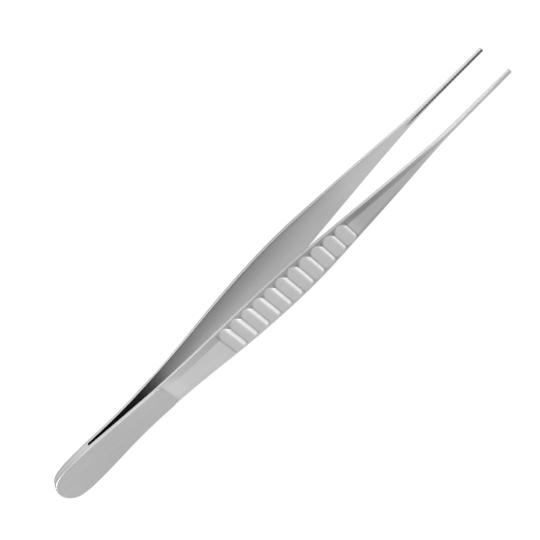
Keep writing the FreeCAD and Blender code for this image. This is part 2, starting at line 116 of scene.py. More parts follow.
def rounded_runs(points, radii):
    """Straight stretches through points, with an arc at each inner one."""
    runs = []
    at = points[0]
    for before, knee, after, radius in zip(points, points[1:], points[2:], radii):
        into = (knee - before).normalized()
        out = (after - knee).normalized()
        turn = into.angle(out)
        reach = radius * math.tan(turn / 2)
        centre = knee + (out - into).normalized() * radius / math.cos(turn / 2)
        runs.append(line_run(at, knee - into * reach))
        runs.append(arc_run(knee - into * reach, knee + out * reach, centre))
        at = knee + out * reach
    runs.append(line_run(at, points[-1]))
    return runs


def swell_runs(hollow, hollow_radius, crest):
    """The arc of a hollow and the arc of a crest beside it, level at both ends."""
    across, up = crest.x - hollow.x, crest.y - hollow.y
    crest_radius = (across ** 2 + up ** 2) / (2 * up) - hollow_radius
    hollow_centre = hollow + Vector((0, hollow_radius))
    crest_centre = crest - Vector((0, crest_radius))
    share = hollow_radius / (hollow_radius + crest_radius)
    meet = hollow_centre.lerp(crest_centre, share)
    if across > 0:
        return [arc_run(hollow, meet, hollow_centre), arc_run(meet, crest, crest_centre)]
    return [arc_run(crest, meet, crest_centre), arc_run(meet, hollow, hollow_centre)]


def profile(runs):
    """One function of x for a whole chain."""
    def height(x):
        x = np.asarray(x, float)
        y = np.zeros_like(x)
        for start, end, run in runs:
            inside = (x >= start - TINY) & (x <= end + TINY)
            y[inside] = run(x[inside])
        return y
    return height


# %% [markdown]
# Each profile is put together from its stretches, from the tail to the tips.
# The round end of the tail is two arcs. Their centres are kept, because the
# distance of a point from the rim there is measured from them.

# %% The three profiles of an arm
nose_centre = Vector((NOSE_RADIUS, 0))
crest_across, crest_up = TAIL_CREST.x - NOSE_RADIUS, TAIL_CREST.y
SHOULDER_RADIUS = ((crest_across ** 2 + crest_up ** 2 - NOSE_RADIUS ** 2)
                   / (2 * (crest_up - NOSE_RADIUS)))
shoulder_centre = TAIL_CREST - Vector((0, SHOULDER_RADIUS))
nose_end = shoulder_centre + (nose_centre - shoulder_centre).normalized() * SHOULDER_RADIUS
waist = Vector((PAD_LENGTH - PAD_CORNER, WAIST_HALF_WIDTH))
front_centre = GRIP_CREST - Vector((0, GRIP_FRONT_RADIUS))
to_neck = NECK_KNEE - front_centre
lean = math.atan2(to_neck.y, to_neck.x) + math.acos(GRIP_FRONT_RADIUS / to_neck.length)
taper_start = front_centre + Vector((math.cos(lean), math.sin(lean))) * GRIP_FRONT_RADIUS
tip_corner = Vector((LENGTH, TIP_HALF_WIDTH))
outline_runs = [arc_run(Vector((0, 0)), nose_end, nose_centre),
                arc_run(nose_end, TAIL_CREST, shoulder_centre)]
outline_runs += swell_runs(waist, WAIST_REAR_RADIUS, TAIL_CREST)
outline_runs += swell_runs(waist, WAIST_FRONT_RADIUS, GRIP_CREST)
outline_runs.append(arc_run(GRIP_CREST, taper_start, front_centre))
outline_runs += rounded_runs([taper_start, NECK_KNEE, tip_corner], [NECK_RADIUS])
half_width = profile(outline_runs)

slit_end = Vector((SLIT_START + SLIT_HALF_WIDTH, SLIT_HALF_WIDTH))
inner_runs = [arc_run(Vector((SLIT_START, 0)), slit_end, Vector((slit_end.x, 0)))]
inner_runs += rounded_runs([slit_end, ROOT_KNEE, GRIP_KNEE, JAW_KNEE,
                            Vector((LENGTH + 1, JAW_KNEE.y))], [ROOT_BEND, GRIP_BEND, JAW_BEND])
inner_face = profile(inner_runs)

pad_end = Vector((PAD_LENGTH, float(inner_face([PAD_LENGTH])[0]) + PAD_END_THICKNESS))
pad_past = pad_end + (pad_end - PAD_KNEE).normalized() * PAD_OVERRUN
pad_face = profile(rounded_runs([Vector((0, TAIL_HALF_THICKNESS)), PAD_KNEE, pad_past],
                                [PAD_BEND]))
print("half width at the waist %.2f mm, at the grip %.2f mm"
      % (half_width([waist.x])[0], half_width([GRIP_CREST.x])[0]))

# %% [markdown]
# ## The crown of the outer face
# Past the flat pad the outer face is ground to a low crown: a flat middle that
# falls away to both edges. Each column below is a station along the arm, and
# the values between stations follow a smooth curve that never swings past
# them, so the steel shows no waves.

# %% The crown's stations
STATIONS = np.array([38.0, PAD_LENGTH, PAD_LENGTH + RAMP_LENGTH,
                     57, 70, 82, 94, 107, 122, 135, 146, 154, LENGTH])
EDGE_THICKNESS = np.array([0.66, 0.74, 0.80, 0.98, 1.10, 1.10, 1.10, 1.00,
                           0.93, 0.88, 0.84, 0.80, 0.72])
CROWN_RISE = np.array([0.10, 0.20, 0.53, 0.62, 0.70, 0.75, 0.70, 0.60,
                       0.50, 0.42, 0.34, 0.20, 0.10])
FLAT_HALF_WIDTH = np.array([1.90, 1.90, 1.95, 2.40, 2.90, 3.00, 2.60, 1.80,
                            0.75, 0.18, 0.10, 0.34, 0.46])
FOLD_SOFTNESS = np.array([0.01, 0.01, 0.02, 0.04, 0.08, 0.10, 0.10, 0.10,
                          0.14, 0.20, 0.14, 0.06, 0.01])
LEAST_SIDE = 0.05
print("%d stations from %.1f mm to %.1f mm" % (len(STATIONS), STATIONS[0], STATIONS[-1]))

# %% Smooth steps between the stations


def eased(values, x):
    """Values at the stations, joined by a smooth curve that never overshoots."""
    x = np.clip(x, STATIONS[0], STATIONS[-1])
    grades = np.diff(values) / np.diff(STATIONS)
    product = grades[:-1] * grades[1:]
    total = np.where(product > 0, grades[:-1] + grades[1:], 1)
    slopes = np.concatenate([[0], np.where(product > 0, 2 * product / total, 0), [0]])
    span = np.clip(np.searchsorted(STATIONS, x, side="right") - 1, 0, len(STATIONS) - 2)
    reach = STATIONS[span + 1] - STATIONS[span]
    share = (x - STATIONS[span]) / reach
    left = 1 - share
    return (left ** 2 * (1 + 2 * share) * values[span]
            + share ** 2 * (1 + 2 * left) * values[span + 1]
            + share * left * reach * (left * slopes[span] - share * slopes[span + 1]))


def soft_min(first, second, softness):
    """The lower of two heights, with the corner between them rounded off."""
    overlap = np.maximum(softness - np.abs(first - second), 0)
    return np.minimum(first, second) - overlap ** 2 / (4 * softness)


def rounded_off(distance, radius):
    """How far a rounded edge has dropped at a distance inside its rim."""
    rest = np.clip(radius - distance, 0, radius)
    return radius - np.sqrt(radius ** 2 - rest ** 2)


# %% [markdown]
# ## Flutes, pad and edges
# The finger flutes are milled across the crown by a round cutter, square to
# the face. The crests between them are polished round. The pad's rim is
# chamfered, and its end steps down to the crown. Cutters could be taken away
# from a plain arm with booleans. The heights are worked out instead, because
# each corner can then be rounded as softly as the polish leaves it.

# %% The crown and its flutes
FLUTE_COUNT, FLUTE_START, FLUTE_PITCH = 11, 63.6, 3.97
FLUTE_RADIUS, FLUTE_DEPTH, FLUTE_CREST = 3.4, 0.55, 0.09
EDGE_ROUND, TIP_ROUND = 0.09, 0.2
FAR_ABOVE = 1e3


def crown_middle(x):
    """Height of the crown's flat middle at x."""
    return inner_face(x) + eased(EDGE_THICKNESS, x) + eased(CROWN_RISE, x)


def past_flat(x, z):
    """How far down the crown's side a point lies: 0 at the fold and 1 at the rim."""
    flat = eased(FLAT_HALF_WIDTH, x)
    return (np.abs(z) - flat) / np.maximum(half_width(x) - flat, LEAST_SIDE)


def flute_floor(number, x):
    """Height of one flute's round floor."""
    centre = FLUTE_START + number * FLUTE_PITCH
    rear, front = crown_middle(np.array([centre - FLUTE_PITCH / 2, centre + FLUTE_PITCH / 2]))
    lean = math.atan2(front - rear, FLUTE_PITCH)
    lift = FLUTE_RADIUS - FLUTE_DEPTH
    axis_x = centre - math.sin(lean) * lift
    axis_y = (rear + front) / 2 + math.cos(lean) * lift
    off = np.abs(x - axis_x)
    floor = axis_y - np.sqrt(np.maximum(FLUTE_RADIUS ** 2 - off ** 2, 0))
    return np.where(off < FLUTE_RADIUS, floor, FAR_ABOVE)


def crown_height(x, z):
    """Height of the crown, flutes included, at x and z."""
    middle = crown_middle(x)
    fall = eased(CROWN_RISE, x) * past_flat(x, z)
    height = soft_min(middle, middle - fall, eased(FOLD_SOFTNESS, x))
    for number in range(FLUTE_COUNT):
        height = soft_min(height, flute_floor(number, x), FLUTE_CREST)
    height -= rounded_off(half_width(x) - np.abs(z), EDGE_ROUND)
    return height - rounded_off(LENGTH - x, TIP_ROUND)


print("at the grip the crown reaches %.2f mm from the middle plane"
      % crown_middle(np.array([GRIP_CREST.x]))[0])

# %% The pad
PAD_CHAMFER, RIM_SLACK = 0.17, 0.01
FAR_BELOW = -9


def rim_distance(x, z):
    """How far a point of the pad lies inside the pad's rim."""
    z = np.abs(z)
    plain = half_width(x) - z
    from_nose = NOSE_RADIUS - np.hypot(x - nose_centre.x, z)
    from_shoulder = SHOULDER_RADIUS - np.hypot(x - shoulder_centre.x, z - shoulder_centre.y)
    spread = (nose_end - nose_centre).normalized()
    on_nose = (x - nose_centre.x) * spread.y - z * spread.x < 0
    tail = np.where(on_nose, from_nose, from_shoulder)
    beyond_x = np.maximum(x - (PAD_LENGTH - PAD_CORNER), 0)
    beyond_z = np.maximum(z - (WAIST_HALF_WIDTH - PAD_CORNER), 0)
    corner = PAD_CORNER - np.hypot(beyond_x, beyond_z)
    distance = np.where(x < TAIL_CREST.x, tail, plain)
    return np.where(x > PAD_LENGTH - PAD_CORNER, corner, distance)


def outer_height(x, z):
    """Height of the whole outer face: the pad, then the crown."""
    rim = rim_distance(x, z)
    on_pad = (x <= PAD_LENGTH) & (rim > -RIM_SLACK)
    face = pad_face(np.minimum(x, PAD_LENGTH)) - np.maximum(PAD_CHAMFER - rim, 0)
    face -= rounded_off(rim, EDGE_ROUND / 2)
    pad = np.where(on_pad, face, FAR_BELOW)
    crown = np.where(x > PAD_LENGTH - 2 * PAD_CORNER, crown_height(x, z), FAR_BELOW)
    return np.maximum(pad, crown)


print("the pad ends %.2f mm from the middle plane" % pad_face([PAD_LENGTH])[0])

# %% [markdown]
# ## Jaws
# The far jaw has a fine groove with a row of square pits along it. The near
# jaw has a low ridge cut into teeth that seat in them. They are part of the
# skin too: its columns and rows are laid on both sides of every wall, so the
# steps stay crisp without a boolean.

# %% Heights of the inner face
TEETH_START, TOOTH_PITCH = 131.0, 0.9
GROOVE_START, GROOVE_FADE = TEETH_START + 1, 4.5
GROOVE_HALF_WIDTH, GROOVE_DEPTH = 0.20, 0.26
PIT_HALF_WIDTH, PIT_DEPTH, PIT_SHARE = 0.26, 0.18, 0.45
RIDGE_HALF_WIDTH, RIDGE_HEIGHT, RIDGE_STEP = 0.10, 0.22, 0.1
WALL = 0.02


def step_between(value, low, high):
    """0 below low, 1 above high, and straight between."""
    return np.clip((value - low) / (high - low), 0, 1)


def pit_mask(x):
    """1 in a pit or between two teeth, 0 on a tooth."""
    place = np.mod((x - TEETH_START) / TOOTH_PITCH, 1)
    off = np.abs(place - 0.5) * TOOTH_PITCH
    half = PIT_SHARE * TOOTH_PITCH / 2
    return 1 - step_between(off, half - WALL, half + WALL)


def jaw_relief(x, z, grooved):
    """How far the jaw's inner face stands back from flat."""
    z = np.abs(z)
    if grooved:
        on_jaw = step_between(x, GROOVE_START, GROOVE_START + GROOVE_FADE)
        groove = GROOVE_DEPTH * (1 - step_between(z, GROOVE_HALF_WIDTH - WALL, GROOVE_HALF_WIDTH))
        pit = PIT_DEPTH * pit_mask(x) * (1 - step_between(z, PIT_HALF_WIDTH - WALL, PIT_HALF_WIDTH))
        return on_jaw * np.maximum(groove, pit)
    on_jaw = step_between(x, TEETH_START, TEETH_START + RIDGE_STEP)
    tooth = RIDGE_HEIGHT - PIT_DEPTH * pit_mask(x)
    return -on_jaw * tooth * (1 - step_between(z, RIDGE_HALF_WIDTH, RIDGE_HALF_WIDTH + WALL))


print("the jaws have room for %d teeth" % ((LENGTH - TEETH_START) // TOOTH_PITCH))

# %% [markdown]
# ## The skin of an arm
# The arm is one closed skin. A grid is made with its columns along the arm and
# its rows round half a section, and each of its points is moved to its place.
# The columns lie close together where the form changes fast: round the nose,
# at the slit's end, the pad's end, the flutes and the teeth. Then the half is
# mirrored, the tip is closed, and what meets is merged. One grid has even
# faces and no seams, which pieces joined by booleans would lack, so the steel
# shades smoothly. Each arm also carries a map of its grain, and marks for its
# inner face, its groove, the crests of its flutes, the sides of its crown and
# its edges and walls, so the finish and the painted shade can differ there.

# %% Where the columns lie
NOSE_TURN, SLIT_TURN, TIP_TURN = (np.linspace(0, math.pi / 2, steps) for steps in (44, 7, 8))
# Each plain stretch: its start, its end and the step between its columns.
PLAIN_STRETCHES = ((8.6, 38, 0.6), (38, 42.6, 0.08), (43, 61.4, 0.4),
                   (61.4, 107.6, 0.14), (108, 130.9, 0.4))
BARE_TIP, LEAST_STEP = 0.6, 0.004


def columns():
    """The x of each column of the skin."""
    teeth = np.arange(TEETH_START, LENGTH - BARE_TIP, TOOTH_PITCH)
    half = PIT_SHARE / 2
    wall = WALL / TOOTH_PITCH
    corners = np.array([0, 0.5 - half - wall, 0.5 - half + wall, 0.5,
                        0.5 + half - wall, 0.5 + half + wall])
    parts = [np.arange(*stretch) for stretch in PLAIN_STRETCHES]
    parts.append(TAIL_CREST.x * (1 - np.cos(NOSE_TURN)))
    parts.append(SLIT_START + SLIT_HALF_WIDTH * (1 - np.cos(SLIT_TURN)))
    parts.append((teeth[:, None] + corners * TOOTH_PITCH).ravel())
    parts.append(LENGTH - TIP_CORNER * (1 - np.sin(TIP_TURN)))
    x = np.unique(np.round(np.concatenate(parts), 4))
    return x[np.concatenate([[True], np.diff(x) > LEAST_STEP])]


print("%d columns along an arm" % len(columns()))

# %% The section at each column
INNER_LINES = np.array([0, RIDGE_HALF_WIDTH, RIDGE_HALF_WIDTH + WALL,
                        GROOVE_HALF_WIDTH - WALL, GROOVE_HALF_WIDTH,
                        PIT_HALF_WIDTH - WALL, PIT_HALF_WIDTH])
INNER_SHARES = np.linspace(0, 1, 9)[1:]
EDGE_TURN = np.radians([30, 60, 90])
SIDE_SHARES = (0.25, 0.5, 0.75)
RIM_SHARES = (0, 0.04, 0.10, 0.18, 0.27, 0.4, 0.5, 0.65, 1)
CROWN_SHARES = np.linspace(1, 0, 31)[1:]
INNER_EDGE, FULL_JAW = 0.07, 0.45
ARM_REACH = cad_high.y / MM


def section(x, grooved):
    """Points round the upper half of the section at each x, as arrays of y and z."""
    side = half_width(x) - rounded_off(np.abs(LENGTH - x), TIP_CORNER)
    base = inner_face(x)
    open_share = step_between(x, SLIT_START, slit_end.x + 1)
    edge = np.minimum(INNER_EDGE, side / 3) * open_share
    flat = side - edge
    squeeze = np.minimum(flat / FULL_JAW, 1)
    last = INNER_LINES[-1] * squeeze
    zs = [z * squeeze for z in INNER_LINES]
    zs += [last + (flat - last) * share for share in INNER_SHARES]
    ys = [base + jaw_relief(x, z, grooved) for z in zs]
    for turn in EDGE_TURN:
        zs.append(flat + edge * math.sin(turn))
        ys.append(base + edge * (1 - math.cos(turn)))
    top = outer_height(x, side)
    for share in SIDE_SHARES:
        zs.append(side)
        ys.append(base + edge + (top - base - edge) * share)
    reach = np.minimum(2 * PAD_CHAMFER, 0.4 * side)
    outer = [side - reach * share for share in RIM_SHARES]
    outer += [(side - reach) * share for share in CROWN_SHARES]
    zs += outer
    ys += [outer_height(x, z) for z in outer]
    return np.minimum(ys, ARM_REACH), np.array(zs)


# %% Map the grain
UV_PER_METRE = 10
FACING_WEIGHTS = 0.5, 1, 1


def vertex_places(mesh):
    """Where every vertex is, one row each."""
    place = np.empty(len(mesh.vertices) * 3)
    mesh.vertices.foreach_get("co", place)
    return place.reshape(-1, 3)


def map_grain(mesh, place):
    """A UV map whose first axis runs along the arm, seen from each face's own side."""
    corner = np.empty(len(mesh.loops), int)
    mesh.loops.foreach_get("vertex_index", corner)
    normal = np.empty(len(mesh.polygons) * 3)
    mesh.polygons.foreach_get("normal", normal)
    corners = np.empty(len(mesh.polygons), int)
    mesh.polygons.foreach_get("loop_total", corners)
    facing = np.abs(normal.reshape(-1, 3)) * FACING_WEIGHTS
    side = np.repeat(facing.argmax(axis=1), corners)
    at = place[corner]
    along = np.where(side == 0, at[:, 2], at[:, 0])
    across = np.where(side == 1, at[:, 2], at[:, 1])
    uv = np.column_stack([along, across]) * UV_PER_METRE
    layer = mesh.uv_layers.new(name="along")
    layer.data.foreach_set("uv", uv.ravel())


# %% Mark the surface
CREST_CORE, CREST_WIDTH, CREST_DIP, CREST_INSET = 0.1, 0.35, 0.45, 0.3
PAST_FLUTES = 0.7
RIM_WIDTH = 0.25
NOSE_FADE = 4, 14
FOLD_START, FOLD_END, FOLD_BLEND, FOLD_SLACK = (74, 98), (112, 124), 0.3, 0.05


def mark(mesh, name, values):
    """Keep one number for each vertex, for the material to read."""
    marks = mesh.attributes.new(name, "FLOAT", "POINT")
    marks.data.foreach_set("value", np.asarray(values, float))


def mark_surface(mesh, place):
    """Mark the inner face, the groove, the crests, the crown's sides and the rims."""
    x = np.clip(place[:, 0] / MM + LENGTH / 2, 0, LENGTH)
    y = np.abs(place[:, 1]) / MM
    z = place[:, 2] / MM - GRIP_HALF_WIDTH
    depth = y - inner_face(x)
    outside = depth > INNER_EDGE
    # The inside mark takes the inner ramp, whose painted shade darkens the slit.
    mark(mesh, "inside", (depth < INNER_EDGE / 2) & (x > SLIT_START + 0.01))

    number = (x - FLUTE_START) / FLUTE_PITCH
    gap = np.abs(np.mod(number, 1) - 0.5) * FLUTE_PITCH
    among = (number > -PAST_FLUTES) & (number < FLUTE_COUNT - 1 + PAST_FLUTES) & outside
    dip = crown_middle(x) - y
    # Painted shade: the crests between the flutes are painted darker.
    crest = 1 - step_between(gap, CREST_CORE, CREST_WIDTH)
    clear = (dip < CREST_DIP) & (np.abs(z) < half_width(x) - CREST_INSET)
    mark(mesh, "crest", crest * among * clear)

    # The rim mark carries the walls' painted shade from the rim ramp.
    rim = 1 - step_between(np.abs(half_width(x) - np.abs(z)), 0.0, RIM_WIDTH)
    mark(mesh, "rim", rim * outside)
    mark(mesh, "nose", rim * (1 - step_between(x, *NOSE_FADE)))

    # Painted shade: the groove along the far jaw is painted dark.
    sunk = outside & (depth < GROOVE_DEPTH + WALL)
    fade = step_between(x, GROOVE_START, GROOVE_START + GROOVE_FADE)
    mark(mesh, "groove", fade * sunk * (np.abs(z) < PIT_HALF_WIDTH))

    # Painted shade: the crown's sides by the grip are painted darker.
    share = past_flat(x, z)
    bare = dip - eased(CROWN_RISE, x) * np.maximum(share, 0) < FOLD_SLACK
    by_grip = step_between(x, *FOLD_START) * (1 - step_between(x, *FOLD_END))
    mark(mesh, "fold", step_between(share, 0, FOLD_BLEND) * outside * bare * by_grip)


# %% How an arm is built
MERGE_DISTANCE, NO_LENGTH = 2e-7, 1e-7
SHARP_ANGLE = math.radians(40)


def build_arm(name, hand, grooved):
    """One arm as a closed mesh. hand is 1 for the +Y arm and -1 for the other."""
    x = columns()
    y, z = section(x, grooved)
    rows, count = y.shape
    bm = bmesh.new()
    bmesh.ops.create_grid(bm, x_segments=count - 1, y_segments=rows - 1, size=0.5)
    for vert in bm.verts:
        column = round((vert.co.x + 0.5) * (count - 1))
        row = round((vert.co.y + 0.5) * (rows - 1))
        vert.co = Vector((x[column] - LENGTH / 2, hand * y[row, column], z[row, column])) * MM
    geometry = bm.verts[:] + bm.edges[:] + bm.faces[:]
    bmesh.ops.mirror(bm, geom=geometry, merge_dist=MERGE_DISTANCE, axis="Z")
    bmesh.ops.translate(bm, verts=bm.verts[:], vec=(0, 0, GRIP_HALF_WIDTH * MM))
    bmesh.ops.remove_doubles(bm, verts=bm.verts[:], dist=MERGE_DISTANCE)
    bmesh.ops.dissolve_degenerate(bm, edges=bm.edges[:], dist=NO_LENGTH)
    open_edges = [edge for edge in bm.edges if edge.is_boundary]
    bmesh.ops.holes_fill(bm, edges=open_edges, sides=0)
    bmesh.ops.recalc_face_normals(bm, faces=bm.faces[:])
    still_open = sum(not edge.is_manifold for edge in bm.edges)
    mesh = bpy.data.meshes.new(name)
    bm.to_mesh(mesh)
    bm.free()
    place = vertex_places(mesh)
    map_grain(mesh, place)
    mark_surface(mesh, place)
    mesh.shade_smooth()
    mesh.set_sharp_from_angle(angle=SHARP_ANGLE)
    piece = bpy.data.objects.new(name, mesh)
    bpy.context.scene.collection.objects.link(piece)
    print("%s: %d columns, %d rows, %d faces, %d open edges"
          % (name, count, rows, len(mesh.polygons), still_open))
    return piece


# %% Build both arms
left_arm = build_arm("left_arm_skin", 1, True)
right_arm = build_arm("right_arm_skin", -1, False)
for piece, node in ((left_arm, "left_arm"), (right_arm, "right_arm")):
    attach(piece, "root")
    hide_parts(node)

# %% [markdown]
# ## Satin steel
# The steel is brushed along the arm. Brushing spreads a reflection across the
# grain and leaves it crisp along it, which is what an anisotropic finish does.
# The grain's direction comes from the skin's own UV map, whose first axis runs
# along the arm. Fine streaks in the finish are noise that is stretched along
# the arm, and they change the roughness and the surface's height a little.
# The colour carries painted shade where the light falls darker on the steel:
# the pad, the taper and the tip are painted darker than the shank, the walls
# and the nose end are painted darker, and painted shade darkens the crests
# between the flutes, the groove of the far jaw, the slit deep in the tail and
# the crown's sides by the grip. A ramp along the arm sets the tone and the
# painted shade of each face, and the marks on the skin say where the walls,
# the crests, the groove and the crown's sides begin. The rim round the nose is
# blasted matt, so it is rougher.

# %% The steel's shades and grain
STEEL_ROUGHNESS, ROUGHNESS_SPREAD, NOSE_HAZE = 0.30, 0.02, 0.2
STEEL_GRAIN, GRAIN_TURN = 0.8, 0.25
BUMP_STRENGTH, BUMP_HEIGHT = 0.04, 0.01
BROAD_STREAKS, FINE_STREAKS = (60.0, 900.0, 900.0), (350.0, 7000.0, 7000.0)
BROAD_DETAIL, FINE_DETAIL = 3.0, 2.0
DIM_CLOUD, CLEAR_CLOUD = (0.93, 0.93, 0.93, 1.0), (1.07, 1.07, 1.07, 1.0)
# Painted shade on the flute crests and in the far jaw's groove.
CREST_PAINTED_SHADE, GROOVE_PAINTED_SHADE = (0.72, 0.72, 0.72, 1.0), (0.3, 0.3, 0.3, 1.0)
# Painted shade for the crown's sides by the grip.
FOLD_SHADE = (0.80, 0.80, 0.80, 1.0)
# Each tone: how far along the arm it lies, and its grey.
# Painted shade: the pad, the taper and the tip are painted darker than the shank, standing in for
# darker reflections there.
OUTER_TONES_AND_PAINTED_SHADE = ((0, 0.445), (41, 0.445), (42, 0.53), (60, 0.53), (64, 0.52), (104, 0.50),
               (109, 0.40), (128, 0.43), (135, 0.51), (150, 0.51), (157, 0.44))
# Painted shade: the inner faces are painted nearly black deep in the slit by the tail, where the
# arms shade each other.
INNER_TONES_AND_PAINTED_SHADE = ((0, 0.03), (22, 0.05), (34, 0.14), (44, 0.46), (56, 0.49), (85, 0.46),
               (104, 0.46), (112, 0.52), (130, 0.54), (160, 0.50))
# Painted shade: the walls are painted darker where they catch less light, and the nose end nearly
# black to dim the lamp's highlight there.
RIM_TONES_AND_PAINTED_SHADE = ((0, 0.06), (0.6, 0.08), (2.5, 0.26), (9, 0.35), (16, 0.42), (35, 0.42),
             (48, 0.46), (57, 0.42), (78, 0.36), (90, 0.34), (104, 0.34), (116, 0.43),
             (128, 0.50), (160, 0.52))
print("%d, %d and %d tones along the arm"
      % (len(OUTER_TONES_AND_PAINTED_SHADE), len(INNER_TONES_AND_PAINTED_SHADE), len(RIM_TONES_AND_PAINTED_SHADE)))

# %% Helpers that add nodes


def link(tree, source, target):
    """Join an output of one node to an input of another."""
    tree.links.new(source, target)


def grey_ramp(tree, position, greys):
    """Shades of grey, from pairs of a position from 0 to 1 and a grey."""
    ramp = tree.nodes.new("ShaderNodeValToRGB")
    stops = ramp.color_ramp.elements
    while len(stops) < len(greys):
        stops.new(0.5)
    for stop, (place, grey) in zip(stops, greys):
        stop.position = place
        stop.color = (grey, grey, grey, 1)
    link(tree, position, ramp.inputs[0])
    return ramp.outputs["Color"]


def marked(tree, name):
    """The mark of that name on the skin."""
    node = tree.nodes.new("ShaderNodeAttribute")
    node.attribute_name = name
    return node.outputs["Fac"]


def mixed(tree, kind, factor, first, second):
    """Two colours blended by a mask."""
    node = tree.nodes.new("ShaderNodeMix")
    node.data_type = "RGBA"
    node.blend_type = kind
    for value, name in ((factor, "Factor"), (first, "A"), (second, "B")):
        socket = next(end for end in node.inputs if end.name == name and end.enabled)
        if isinstance(value, (float, tuple)):
            socket.default_value = value
        else:
            link(tree, value, socket)
    return next(end for end in node.outputs if end.enabled)


def ranged(tree, value, low, high):
    """A value from 0 to 1 spread from low to high."""
    node = tree.nodes.new("ShaderNodeMapRange")
    node.inputs["To Min"].default_value = low
    node.inputs["To Max"].default_value = high
    link(tree, value, node.inputs["Value"])
    return node.outputs["Result"]


def streaks(tree, scale, detail):
    """Noise drawn out along the arm, as a brush leaves it."""
    place = tree.nodes.new("ShaderNodeTexCoord")
    stretch = tree.nodes.new("ShaderNodeMapping")
    stretch.inputs["Scale"].default_value = scale
    noise = tree.nodes.new("ShaderNodeTexNoise")
    noise.inputs["Scale"].default_value = 1
    noise.inputs["Detail"].default_value = detail
    link(tree, place.outputs["Object"], stretch.inputs["Vector"])
    link(tree, stretch.outputs["Vector"], noise.inputs["Vector"])
    return noise.outputs["Fac"]


# %% The steel


def steel_material():
    """Brushed steel, with its tones, marks and streaks."""
    material = bpy.data.materials.new("satin_steel")
    material.use_nodes = True
    tree = material.node_tree
    shader = tree.nodes["Principled BSDF"]
    shader.inputs["Metallic"].default_value = 1.0
    shader.inputs["Anisotropic"].default_value = STEEL_GRAIN
    shader.inputs["Anisotropic Rotation"].default_value = GRAIN_TURN
    tangent = tree.nodes.new("ShaderNodeTangent")
    tangent.direction_type = "UV_MAP"
    tangent.uv_map = "along"
    link(tree, tangent.outputs["Tangent"], shader.inputs["Tangent"])

    place = tree.nodes.new("ShaderNodeTexCoord")
    split = tree.nodes.new("ShaderNodeSeparateXYZ")
    link(tree, place.outputs["Object"], split.inputs[0])
    along = tree.nodes.new("ShaderNodeMapRange")
    along.inputs["From Min"].default_value = -LENGTH / 2 * MM
    along.inputs["From Max"].default_value = LENGTH / 2 * MM
    link(tree, split.outputs["X"], along.inputs["Value"])
    outer, inner, rim = (
        grey_ramp(tree, along.outputs["Result"], [(x / LENGTH, grey) for x, grey in tones])
        for tones in (OUTER_TONES_AND_PAINTED_SHADE, INNER_TONES_AND_PAINTED_SHADE, RIM_TONES_AND_PAINTED_SHADE))
    colour = mixed(tree, "MIX", marked(tree, "inside"), outer, inner)

    broad = streaks(tree, BROAD_STREAKS, BROAD_DETAIL)
    fine = streaks(tree, FINE_STREAKS, FINE_DETAIL)
    cloud = mixed(tree, "MIX", broad, DIM_CLOUD, CLEAR_CLOUD)
    colour = mixed(tree, "MULTIPLY", 1.0, colour, cloud)
    # Painted shade: the crests, the groove and the crown's sides by the grip are painted darker,
    # and the walls take the rim ramp's painted shade.
    colour = mixed(tree, "MULTIPLY", marked(tree, "crest"), colour, CREST_PAINTED_SHADE)
    colour = mixed(tree, "MULTIPLY", marked(tree, "groove"), colour, GROOVE_PAINTED_SHADE)
    colour = mixed(tree, "MULTIPLY", marked(tree, "fold"), colour, FOLD_SHADE)
    colour = mixed(tree, "MIX", marked(tree, "rim"), colour, rim)
    link(tree, colour, shader.inputs["Base Color"])

    grain = ranged(tree, fine, STEEL_ROUGHNESS - ROUGHNESS_SPREAD,
                   STEEL_ROUGHNESS + ROUGHNESS_SPREAD)
    haze = ranged(tree, marked(tree, "nose"), 0.0, NOSE_HAZE)
    rough = tree.nodes.new("ShaderNodeMath")
    rough.operation = "ADD"
    link(tree, grain, rough.inputs[0])
    link(tree, haze, rough.inputs[1])
    link(tree, rough.outputs["Value"], shader.inputs["Roughness"])
    bump = tree.nodes.new("ShaderNodeBump")
    bump.inputs["Strength"].default_value = BUMP_STRENGTH
    bump.inputs["Distance"].default_value = BUMP_HEIGHT * MM
    link(tree, fine, bump.inputs["Height"])
    link(tree, bump.outputs["Normal"], shader.inputs["Normal"])
    return material


steel = steel_material()
for piece in (left_arm, right_arm):
    piece.data.materials.append(steel)
print("%s has %d nodes" % (steel.name, len(steel.node_tree.nodes)))

# %% [markdown]
# ## Camera
# The photograph looks down on the instrument from its near side, with the
# camera rolled so that the tips point to the upper right. Three angles, a
# distance and a target say this more plainly than a turned camera object, and
# the camera's own axes follow from them.

# %% The camera at the photograph's angle
VIEW_AZIMUTH, VIEW_ELEVATION, VIEW_ROLL = (math.radians(angle) for angle in (9.79, 33.0, 50.342))
VIEW_DISTANCE = 331.3 * MM
VIEW_TARGET = Vector((1.930, 4.549, 5.035)) * MM
IMAGE_SIDE, FOCAL_PIXELS, SENSOR = 540, 1272.6, 36.0

towards = Vector((math.cos(VIEW_ELEVATION) * math.sin(VIEW_AZIMUTH),
                  -math.cos(VIEW_ELEVATION) * math.cos(VIEW_AZIMUTH),
                  math.sin(VIEW_ELEVATION)))
level = Vector((math.cos(VIEW_AZIMUTH), math.sin(VIEW_AZIMUTH), 0))
upright = towards.cross(level)
right = level * math.cos(VIEW_ROLL) - upright * math.sin(VIEW_ROLL)
up = level * math.sin(VIEW_ROLL) + upright * math.cos(VIEW_ROLL)
camera_data = bpy.data.cameras.new("camera")
camera_data.sensor_width = SENSOR
camera_data.lens = SENSOR * FOCAL_PIXELS / IMAGE_SIDE
camera_data.clip_start = 0.01
camera_data.clip_end = 20
camera = bpy.data.objects.new("camera", camera_data)
camera.rotation_mode = "QUATERNION"
camera.rotation_quaternion = Matrix((right, up, towards)).transposed().to_quaternion()
camera.location = VIEW_TARGET + towards * VIEW_DISTANCE
bpy.context.scene.collection.objects.link(camera)
bpy.context.scene.camera = camera
